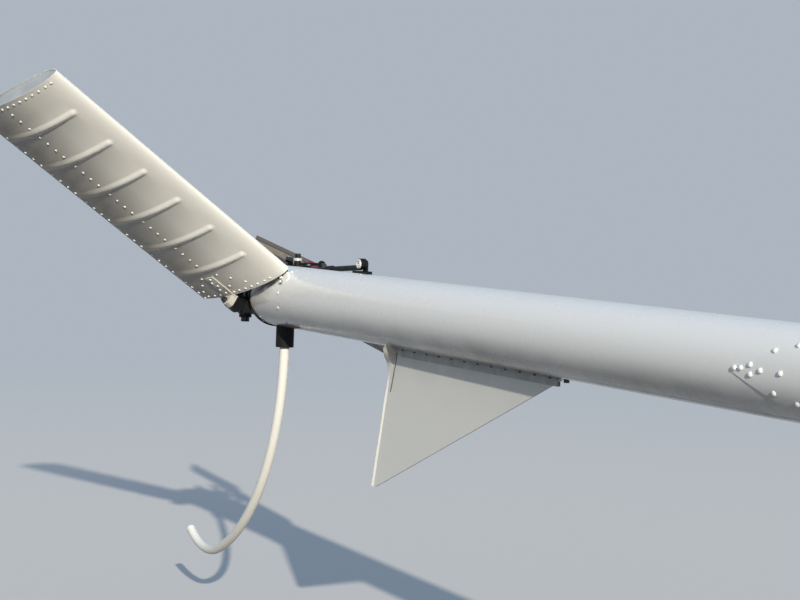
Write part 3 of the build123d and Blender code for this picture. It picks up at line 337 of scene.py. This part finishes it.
# Oil and dust have darkened the plain steel screws, and a dull glint is left where the metal shows.
dark_screw = blotches("oiled_dark_screw", "2B2B2D", "4A4845", 0.42, metallic=0.6, size=0.006)
hex_head = [(4.6, -0.4), (4.6, 0.4), (4.1, 0.5), (4.1, 2.8), (3.5, 3.2)]
angle_heads = [(x, 193.0) for x in range(985, 1800, 74)]
angle_radius = boom_radius + 1.75
studs("fin_angle_screws", hex_head, 6, *on_boom(angle_heads, angle_radius), dark_screw, "boom", "steel")
nose_bolt = [(10.0, -2.5), (10.0, 1.5), (8.5, 1.6), (8.5, 8.5), (7.0, 9.5)]
fin_nose = ((1841 - boom_length) / 1000, 0.0, -boom_radius / 1000)
studs("fin_nose_bolt", nose_bolt, 6, [fin_nose], [(0, 0, -1)], dark_screw, "boom", "steel")


# Fin gussets. One formed strip a side runs down the fin's rear edge as a narrow lip and flares at the
# top into a wide gusset against the boom. It is the fin's own sheet and paint, and a thin raised dark
# line follows the upper part of its seam.
fin_head, flare_end, fin_foot = 106, 240, 545


def gusset(side):
    """A strip in mm, ruled from its seam on the fin (w = 0) to its free edge (w = 1) and bowed
    forward by 5 * w^2, which fades out down to the flare's end. It is 2 mm thick and stays outside
    the boom. Level is how far the seam lies below the boom's axis, and drop how far the free edge
    does. The tables give the distance ahead of the boom's aft end and the half width."""
    level = np.array((fin_head, 114, 121, 128, 137, 146, 155, 163, 172, 182, 192, 205, flare_end,
                      300, 400, 500, fin_foot), float)
    seam_x = np.interp(level, (fin_head, 203, fin_foot), (929, 881, 787))
    seam_half = np.interp(level, (fin_head, flare_end, fin_foot), (13.4, 10.5, 4.0))
    drop = np.interp(level, (fin_head, 114, flare_end, fin_foot), (91, 106, flare_end, fin_foot))
    free_x = np.interp(drop, (91, 104, 114, 124, 131, 139, 149, 158, 173, 184, 193, 203, flare_end, fin_foot),
                       (946, 926, 917, 903, 891, 878, 867, 865, 870, 874, 876, 875, 866, 780))
    free_half = np.interp(drop, (91, 99, 104, 114, 124, 131, 139, 149, 158, 173, flare_end, fin_foot),
                          (69, 70, 67, 60, 50, 42, 32, 21, 16.5, 15, 14, 8))
    seam = np.stack([seam_x, seam_half, -level], axis=1)[:, None]
    free = np.stack([free_x, free_half, -drop], axis=1)[:, None]
    w = np.linspace(0, 1, 9)
    face = seam + (free - seam) * w[:, None]
    bow = 5 * np.clip((flare_end - level) / (flare_end - fin_head), 0, 1)[:, None] * w ** 2
    face[..., 0] += bow
    face[..., 1] -= bow
    thickness = (-1.8, 0.2, 0.9)
    face = np.concatenate([face, face[:, ::-1] + thickness], axis=1)
    from_axis = np.hypot(face[..., 1], face[..., 2])
    face[..., 1:] *= (np.maximum(from_axis, boom_radius + 1.2) / from_axis)[..., None]
    return (face * (1, side, 1) - (boom_length, 0, 0)) / 1000


gussets = sheet("fin_formed_gussets", gusset(1), gusset(-1), around=True, capped=True)
fitted(gussets, fin_white, "boom", "white_enamel")
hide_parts("fin_gussets")
# The line's four corners are carried down the seam: (x + corner x, side * (half width + corner out), -level).
line_x, line_level = np.array([(929, 120), (923, 141), (918, 159), (911, 175), (907, 190), (902, 203),
                               (897, 219), (888, 241)], float).T[..., None]
line_half = np.interp(line_level, (fin_head, fin_foot), (13.0, 3.5))
corner_x, corner_out = np.array([(-1.2, -4.0), (-1.2, 0.9), (1.2, 0.9), (1.2, -4.0)]).T
for side, name in ((1, "port"), (-1, "starboard")):
    line = np.broadcast_arrays(line_x - boom_length + corner_x, side * (line_half + corner_out), -line_level)
    fitted(sheet(f"fin_seam_{name}", np.stack(line, axis=-1) / 1000, around=True, capped=True), dark_screw,
           "boom", "black_rubber")


# Tail skid. Steel tube bent twice and sprayed white, pushed up into a moulded rubber socket that lets
# it give when the tail touches down. The low bend is faintly stained, and a pressed cap closes the end.
skid_white = enamel("satin_skid_enamel", "E9E8DF", "C6C0AC", rising("Z", -0.6, -1.0, 0.15), roughness=0.35)
dress(skid_white, "tail_skid")
# Moulded rubber is near black and matt, and its skin breaks up what little it reflects.
rubber = blotches("moulded_black_rubber", "0A0A0B", "141415", 0.75, size=0.012, relief=0.25, grain=0.0015,
                  Specular_IOR_Level=0.3)
dress(rubber, "skid_socket")
skid_start, straight, heading = np.array((-3.931, -0.140)), 0.040, np.radians(-90.7)
long_bend, short_bend = (0.868, np.radians(67.3)), (0.321, np.radians(53.2))
skid_end = skid_start + straight * np.array((np.cos(heading), np.sin(heading)))
for bend_radius, bend in (long_bend, short_bend):
    before, heading = heading, heading - bend
    skid_end += bend_radius * np.array((np.sin(before) - np.sin(heading), np.cos(heading) - np.cos(before)))
end_cap = [(16.3, -4.0), (17.2, -3.5), (17.2, 1.0), (16.0, 3.5), (12.5, 5.5), (7.0, 6.6), (2.0, 6.9)]
studs("skid_end_cap", end_cap, 24, [(skid_end[0], 0, skid_end[1])], [(np.cos(heading), 0, np.sin(heading))],
      skid_white, "boom", "white_tube")


# Stabiliser skin. Two thin aluminium skins are formed round ribs and a spar, with six beads pressed
# outwards in each to stiffen it. The satin warm-white enamel carries painted shade, deepening towards the
# trailing edge.
cant, lean, incidence = np.radians((34.6, 8.1, 26.6))
outboard = np.array((0, -np.cos(cant), np.sin(cant)))
downward = np.array((0, -np.sin(cant), -np.cos(cant)))
spanwise = np.array((np.sin(lean), 0, 0)) + outboard * np.cos(lean)
sweep_back = np.array((-np.cos(lean), 0, 0)) + outboard * np.sin(lean)
chordwise = sweep_back * np.cos(incidence) + downward * np.sin(incidence)
skinward = np.cross(spanwise, chordwise)
root_nose = np.array((218 - boom_length, 0, 0)) + outboard * 109 - downward * 47.4
span, chord, crest, half_thickness, edge_half = 1049.0, 420.0, 172.2, 37.75, 1.5
skin_arc = ((chord - crest) ** 2 + (half_thickness - edge_half) ** 2) / (2 * (half_thickness - edge_half))
bead_pitch, bead_half, bead_start = 152, 17, 66
bead_stations = 150 + bead_pitch * np.arange(6)
mid_bays = bead_stations[:-1] + bead_pitch // 2


def on_root(c, h, s):
    """A point in metres from chord c, height h below the chord's plane and span s, in millimetres."""
    c, h, s = (np.asarray(value, float)[..., None] for value in (c, h, s))
    return (root_nose + c * chordwise + h * skinward + s * spanwise) / 1000


def skin_height(c):
    """Half the thickness c mm behind the nose: an ellipse up to the crest, then one wide arc."""
    nose = half_thickness * np.sqrt(np.clip(1 - ((crest - c) / crest) ** 2, 0, 1))
    arc = half_thickness - skin_arc + np.sqrt(skin_arc ** 2 - (c - crest) ** 2)
    return np.where(c < crest, nose, arc)


def skin_normal(c, side):
    """The skin's outward direction at c, from the slope of its half thickness."""
    ahead = crest - c
    nose = half_thickness * ahead / crest / np.sqrt(np.clip(crest ** 2 - ahead ** 2, 25, None))
    slope = np.where(ahead > 0, nose, ahead / np.sqrt(skin_arc ** 2 - ahead ** 2))
    normal = side * skinward - slope[..., None] * chordwise
    return normal / np.linalg.norm(normal, axis=-1, keepdims=True)


def bead_height(c, s):
    """How far the nearest pressed bead stands off the skin: ridge * ((1 + cos(pi t)) / 2)^0.8, where
    t is 1 at its edge. It is rounded ahead of its start, and sinks towards the trailing edge."""
    aside = np.min(np.abs(s[..., None] - bead_stations), axis=-1)
    t = np.clip(np.hypot(aside, np.clip(bead_start - c, 0, None)) / bead_half, 0, 1)
    ridge = np.interp(c, (40, 110, 240, 330, 412, 420), (5.8, 7.8, 8.2, 6.6, 2.0, 0.6))
    return ridge * (0.5 + 0.5 * np.cos(np.pi * t)) ** 0.8


def on_skin(c, s, side, lift=0.0):
    """Points in metres on the lower (+1) or upper (-1) skin, lifted off it in mm, and their normals."""
    c, s = np.broadcast_arrays(np.asarray(c, float), np.asarray(s, float))
    normal = skin_normal(c, side)
    lift = np.broadcast_to(lift, c.shape)
    return on_root(c, side * skin_height(c), s) + lift[..., None] * normal / 1000, normal


stations = np.concatenate([crest * (1 - np.cos(np.linspace(0, np.pi / 2, 42))),
                           np.linspace(crest, chord, 27)[1:]])
across_bead = np.array((-17, -14.5, -12, -9.5, -7, -4.5, -2, 0, 2, 4.5, 7, 9.5, 12, 14.5, 17))
along = np.unique(np.concatenate([np.linspace(0, bead_stations[0] - bead_half, 4),
                                  (bead_stations[:, None] + across_bead).ravel(), mid_bays,
                                  np.linspace(bead_stations[-1] + bead_half, span, 4)]))
c_grid, s_grid = np.meshgrid(stations, along)
beads = bead_height(c_grid, s_grid)
lower = on_skin(c_grid, s_grid, 1, beads)[0]
upper = on_skin(c_grid, s_grid, -1, beads)[0]
shell = np.concatenate([lower[:, ::-1], upper[:, 1:]], axis=1)
rim_c = np.concatenate([stations[::-1], stations[1:]])
rim_side = np.where(np.arange(len(rim_c)) < len(stations), 1, -1)
# Each end turns in along a narrow rim and is closed a little way inside it.
rim_inset, rim_chord, rim_depth = 1.5, chord - 6, 6.4
rim = (rim_inset + rim_c * rim_chord / chord,
       np.clip(skin_height(rim_c) - rim_inset, 0.4, None) * rim_side)
shell = np.concatenate([on_root(*rim, rim_depth)[None], on_root(*rim, 0)[None], shell,
                        on_root(*rim, span)[None], on_root(*rim, span - rim_depth)[None]])
stabiliser = sheet("stabiliser_pressed_skin", shell, around=True, capped=True)


def trailing_painted_shade(tree, place):
    """A mask of painted shade that grows along the chord, from the crest to the trailing edge."""
    c = add(tree, "ShaderNodeVectorMath", {0: place, 1: chordwise}, operation="DOT_PRODUCT").outputs["Value"]
    nose = float(root_nose @ chordwise) / 1000
    return add(tree, "ShaderNodeMapRange", {"Value": c, "From Min": nose + 0.15, "From Max": nose + 0.37,
                                             "To Max": 1.0}).outputs["Result"]


cream = enamel("satin_cream_enamel", "E8E7DF", "726856", trailing_painted_shade, roughness=0.34, even=0.75)
fitted(stabiliser, cream, "boom", "cream_enamel", sharp=0.7)
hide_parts("stabiliser_skin")


# Stabiliser ribs. Flanged ribs close both ends, set a little inside the skin, and are sprayed with
# a thin coat of blue-grey primer that still shows the brushed sheet.
primer = blotches("blue_grey_primer", "A3A8A9", "B6BABA", 0.5, size=0.09, relief=0.08)
dress(primer, "stabiliser_root_rib", "stabiliser_tip_rib")


# Stabiliser rivets. Universal-head rivets join the skins along the spar, the trailing edge and both
# end ribs. They are painted over in a clean, slightly lighter cream without the skin's painted shade,
# so their heads stand out bright.
rivet_white = blotches("cream_rivet_paint", "EAE9E3", "F1F0EB", 0.3, size=0.01, Coat_Weight=0.3)
rivet = [(4.2, -0.6), (4.3, 0.4), (4.0, 1.6), (3.0, 2.6), (1.4, 3.0)]
bays = np.concatenate([[131], (mid_bays[:, None] + (-51, -17, 17, 51)).ravel(), [929, 966, 1000]])
spar_c, edge_c = 260, 405
spar_row = [(spar_c, s) for s in bays[1:]]
edge_row = [(edge_c, s - 10) for s in bays] + [(edge_c, s) for s in (6, 38, 72, 103)]
tip_row = [(c, span - 17) for c in (32, 57, *np.arange(88, 405, 31))]
root_row = [(c, 13) for c in (64, 90, 122, 152, 181, 211, 238, 310, 342, 377)]
diagonals = [(226, 110), (189, 78), (152, 41), (309, 107), (341, 75), (374, 41), (229, 45)]
rivet_pairs = np.array(spar_row + edge_row + tip_row + root_row + diagonals, float)
for side, name in ((1, "lower"), (-1, "upper")):
    studs(f"stabiliser_rivets_{name}", rivet, 10, *on_skin(*rivet_pairs.T, side), rivet_white, "boom",
          "cream_enamel")


# Spar mounting. A strap riveted under the spar ends in a thick lug plate. A bolt along the span pins
# the lug to a black cast fork, which grows out of the gearbox's arm. Strap and lug are painted cream.
def rounded(corners, radius, steps=5):
    """Cuts each corner of a flat outline with a curve that starts and ends a radius away from it:
    (1 - t)^2 * first + 2 * t * (1 - t) * corner + t^2 * last."""
    corners = np.array(corners, float)
    back = np.roll(corners, 1, axis=0) - corners
    ahead = np.roll(corners, -1, axis=0) - corners
    first = corners + radius * back / np.linalg.norm(back, axis=1, keepdims=True)
    last = corners + radius * ahead / np.linalg.norm(ahead, axis=1, keepdims=True)
    t = np.linspace(0, 1, steps)[None, :, None]
    curve = (1 - t) ** 2 * first[:, None] + 2 * t * (1 - t) * corners[:, None] + t ** 2 * last[:, None]
    return curve.reshape(-1, 2)


def slab(name, outline, levels, place, inset=1.0):
    """An outline pushed from one level to another, with both ends drawn in by an inset, which bevels
    their edges. The place function turns outline and level into points in metres."""
    outward = outline - outline.mean(axis=0)
    outward /= np.linalg.norm(outward, axis=1, keepdims=True)
    low, high = levels
    bevel = 0.12 * (high - low) if high - low < 6 * inset else inset
    rows = [place(*(outline - drawn * outward).T, np.full(len(outline), level))
            for level, drawn in ((low, inset), (low + bevel, 0), (high - bevel, 0), (high, inset))]
    return sheet(name, np.array(rows), around=True, capped=True)


strap_c, strap_thickness = np.linspace(250, 288, 7), 4.2
strap_low = np.stack([strap_c, skin_height(strap_c) - 1], axis=1)
strap_high = np.stack([strap_c, skin_height(strap_c) + strap_thickness], axis=1)[::-1]
strap = slab("spar_strap_plate", np.concatenate([strap_low, strap_high]), (-7, 109), on_root, 0.8)
fitted(strap, cream, "boom", "cream_enamel")
lug_outline = rounded([(250, 28), (253, 36), (264, 67), (284, 70), (299, 56), (299, 26)], 6)
fitted(slab("spar_lug_plate", lug_outline, (-18, 6), on_root), cream, "boom", "cream_enamel")
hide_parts("stabiliser_spar_strap")
strap_row = np.array([(269, 100), (279, 82), (269, 62), (279, 42), (269, 22)], float)
studs("spar_strap_rivets", rivet, 10, *on_skin(*strap_row.T, 1, strap_thickness - 0.05), rivet_white, "boom",
      "cream_enamel")
# Semi-gloss black over a sand casting is deep black, with small glints broken up by the sand's texture.
black_casting = blotches("black_sand_casting", "0C0D0E", "17181A", 0.5, size=0.03, relief=0.35, grain=0.0018,
                         Specular_IOR_Level=0.22)
fork_outline = rounded([(256, 8), (258, 46), (268, 55), (294, 60), (320, 46), (320, 8)], 9)
fitted(slab("spar_fork", fork_outline, (-60, -19), on_root, 2.5), black_casting, "boom", "black_casting")
pin_head = [(12.0, -1.0), (12.0, 2.5), (9.5, 2.6), (9.5, 11.0), (8.3, 12.0), (5.0, 12.0), (5.0, 19.0),
            (4.2, 20.0)]
studs("spar_bolt", pin_head, 6, [on_root(284, 53, 6.0)], [spanwise], dark_screw, "boom", "steel")


# Nose mounting. A cast pad lies on the boom under the stabiliser's nose and swells in front of it as a
# rounded cradle, with a black strip of painted shade in its gap to the root. Two plated bolts hold it,
# each over a black disc of painted shadow. It is cream.
def pad(outline, rho):
    """Rings drawn in by rho towards the outline's centre and laid round the boom, where x runs ahead
    of the aft end and arc round to starboard. The height is (4 + 9 * nose) * (1 - rho^5)^0.6, and nose
    grows to 1 ahead of the stabiliser's nose and towards the top line."""
    centre = outline.mean(axis=0)
    x, arc = np.moveaxis(centre + rho[:, None, None] * (outline - centre), -1, 0)
    nose = np.clip((x - 205) / 25, 0, 1) * np.clip((95 - arc) / 34, 0, 1)
    radius = boom_radius + (4 + 9 * nose) * np.clip(1 - rho[:, None] ** 5, 0, 1) ** 0.6
    radius[-1] -= 2.0
    turn = arc / boom_radius
    return np.stack([x - boom_length, -radius * np.sin(turn), radius * np.cos(turn)], axis=-1) / 1000


pad_corners = [(198, 95), (206, 115), (236, 114), (258, 106), (266, 94), (262, 84), (246, 72), (226, 61),
               (208, 61)]
rings = np.array((0.02, 0.2, 0.4, 0.55, 0.7, 0.8, 0.88, 0.94, 0.975, 0.993, 1.0, 1.0))
nose_pad = fitted(sheet("nose_pad", pad(rounded(pad_corners, 6, 6), rings), around=True, capped=True), cream,
                  "boom", "cream_enamel")
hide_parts("stabiliser_front_strap")
# A black strip under the root's nose, in the gap to the pad, is painted shade.
gap_shade_c = np.linspace(4, 44, 12)
gap_shade_outline = np.concatenate([np.stack([gap_shade_c, skin_height(gap_shade_c) - 4], axis=1),
                               np.stack([gap_shade_c, skin_height(gap_shade_c) + 1.8], axis=1)[::-1]])
fitted(slab("nose_gap_painted_shade", gap_shade_outline, (-6, -0.3), on_root, 0.5), rubber, "boom", "black_rubber")
pad_radius = boom_radius + 3.8
starboard_bolts = [half[:2] for half in on_boom([(213, 51), (230, 59)], pad_radius)]
# A black disc under each bolt is painted shadow.
studs("nose_pad_painted_shadows", [(8.0, -1.0), (8.0, 0.7)], 16, *starboard_bolts, rubber, "boom", "black_rubber")
studs("nose_pad_bolts", [(5.4, 0.5), (5.4, 3.6), (4.6, 4.4)], 6, *starboard_bolts, rivet_white, "boom",
      "steel")


# Aft end. The gearbox and its mounts are aluminium castings under semi-gloss black, with a fine sand
# texture, and covers in bare dark grey. Studs with plain nuts hold the flange, all round but for the
# place beside the stabiliser's mount, and cap screws hold the cover.
dress(black_casting, "aft_fitting", "gearbox_housing", "stabiliser_mount")
# Bare cast aluminium that has dulled outdoors is a dark grey metal with soft, patchy reflections.
grey_casting = blotches("bare_grey_casting", "4A4D50", "63666A", 0.4, metallic=0.7, size=0.02, relief=0.3,
                        grain=0.0016)
dress(grey_casting, "gearbox_cover", "output_housing")
# Moulded caps are smoother than the black castings and hold one clear highlight.
black_plastic = blotches("moulded_black_plastic", "141415", "1D1D1E", 0.36, size=0.01, relief=0.1)
dress(black_plastic, "filler_cap", "drain_plug", "crank_cap")
nut = [(7.6, -0.4), (7.6, 1.2), (6.2, 1.3), (6.2, 6.6), (5.4, 7.4), (3.2, 7.4), (3.2, 11.0), (2.6, 11.5)]
turn = np.radians(np.arange(8) * 45 + 22.5)
beside_mount = 4
flange_turn = np.delete(turn, beside_mount)
nut_circle, flange_face = 0.086, -4.021
nut_places = np.stack([0 * flange_turn, np.cos(flange_turn), np.sin(flange_turn)], axis=1) * nut_circle
studs("gearbox_flange_nuts", nut, 6, nut_places + (flange_face, 0, 0), [(-1, 0, 0)] * len(nut_places), steel,
      "boom", "steel")
cap_screw = [(4.6, -0.4), (4.6, 4.0), (4.2, 4.6), (2.3, 4.6), (2.1, 2.4)]
screw_circle, shaft_x, cover_face = 0.0585, -4.15, -0.088
screw_places = np.stack([np.cos(turn), 0 * turn, np.sin(turn)], axis=1) * screw_circle
studs("gearbox_cover_screws", cap_screw, 12, screw_places + (shaft_x, cover_face, 0),
      [(0, -1, 0)] * len(screw_places), steel, "boom", "steel")


# Pitch control. Black castings again, from the idler on the boom to the ring on the output sleeve.
# A bright collar sits under the crank's cap, and a bright bush fills the idler's eye.
dress(black_casting, "bellcrank", "crank_pedestal", "control_ring", "control_rod", "idler_bracket",
      "pitch_plate", "pitch_links")
dress(steel, "control_bolts")
# The bush's pale alloy catches the sun and looks almost white against the black rod.
bush_paint = blotches("pale_bush_alloy", "CBC9C2", "DEDCD5", 0.35, metallic=0.3, size=0.01)
collar = [(13.8, -0.2), (15.0, 0.4), (15.0, 8.8), (13.8, 9.6)]
under_cap = (-3.984, 0.062, 0.1202)
studs("crank_collar", collar, 24, [under_cap], [(0, 0, 1)], bush_paint, "boom", "machined_aluminium")
# The bush's section is turned about its bolt: (x + r * cos a, y - out, z + r * sin a).
eye_x, eye_y, eye_z = 486 - boom_length, 68, 130
around_bolt = np.arange(32) * 2 * np.pi / 32
bush_section = [(8.0, -1.0), (8.0, 3.0), (9.5, 5.0), (12.0, 5.5), (14.5, 4.4), (16.0, 1.5), (16.0, -1.0)]
bush = np.array([np.stack([eye_x + r * np.cos(around_bolt), 0 * around_bolt + eye_y - out,
                           eye_z + r * np.sin(around_bolt)], axis=1) for r, out in bush_section]) / 1000
fitted(sheet("idler_bush", bush, around=True, looped=True), bush_paint, "boom", "machined_aluminium")


# Tail rotor head. The fork and its teeter pin are plated steel, and the hub, grips and pitch horns are
# bare grey castings that have dulled outdoors.
dress(grey_casting, "hub_block", "blade_grips", "pitch_horns")
dress(steel, "output_shaft", "hub_fork", "teeter_pin", "blade_bolts")
dress(machined, "teeter_washers")


# Tail rotor blades. Bonded aluminium skins in weathered paint, near-black brown along the middle, with
# a tan band towards either edge and a dark glue line before the grey edge itself. Roots and tips are
# crimson, which shows up while they spin.
blade_paint, tree, shader = finish("weathered_blade_paint", 0.42, Coat_Weight=0.15)
place = add(tree, "ShaderNodeTexCoord").outputs["Object"]
rotor_centre, parked = (-4.15, 0.225, 0.0), np.radians(8.6)
across_blade = (np.sin(parked), 0, np.cos(parked))
band_reach, root_reach = 0.1, 0.165
from_hub = add(tree, "ShaderNodeVectorMath", {0: place, 1: rotor_centre}, operation="SUBTRACT").outputs[0]
offset = add(tree, "ShaderNodeVectorMath", {0: from_hub, 1: across_blade}, operation="DOT_PRODUCT")
aside = add(tree, "ShaderNodeMath", {0: offset.outputs["Value"]}, operation="ABSOLUTE")
share = add(tree, "ShaderNodeMapRange", {"Value": aside.outputs[0], "From Min": 0.0, "From Max": band_reach})
bands = add(tree, "ShaderNodeValToRGB", {0: share.outputs["Result"]},
            ((0.0, "3A2E29"), (0.57, "40342E"), (0.61, "A3957F"), (0.79, "A99B84"), (0.80, "372F29"),
             (0.83, "372F29"), (0.84, "6E665C")))
noise = add(tree, "ShaderNodeTexNoise", {"Vector": place, "Scale": 60.0, "Detail": 4.0})
worn = add(tree, "ShaderNodeMapRange", {"Value": noise.outputs["Fac"], "From Min": 0.3, "From Max": 0.7,
                                         "To Min": 0.0, "To Max": 0.5})
paint = add(tree, "ShaderNodeMix", {0: worn.outputs["Result"], 6: bands.outputs["Color"], 7: linear("6B5F54")},
            data_type="RGBA")
radius = add(tree, "ShaderNodeVectorMath", {0: from_hub}, operation="LENGTH").outputs["Value"]
root = add(tree, "ShaderNodeMath", {0: radius, 1: root_reach}, operation="LESS_THAN")
colour = add(tree, "ShaderNodeMix", {0: root.outputs[0], 6: paint.outputs[2], 7: linear("8E1735")},
             data_type="RGBA")
tree.links.new(colour.outputs[2], shader.inputs["Base Color"])
dress(blade_paint, "blades")
crimson = blotches("gloss_crimson_enamel", "86142F", "A01B3A", 0.3, size=0.03, Coat_Weight=0.5)
dress(crimson, "blade_tip_caps")
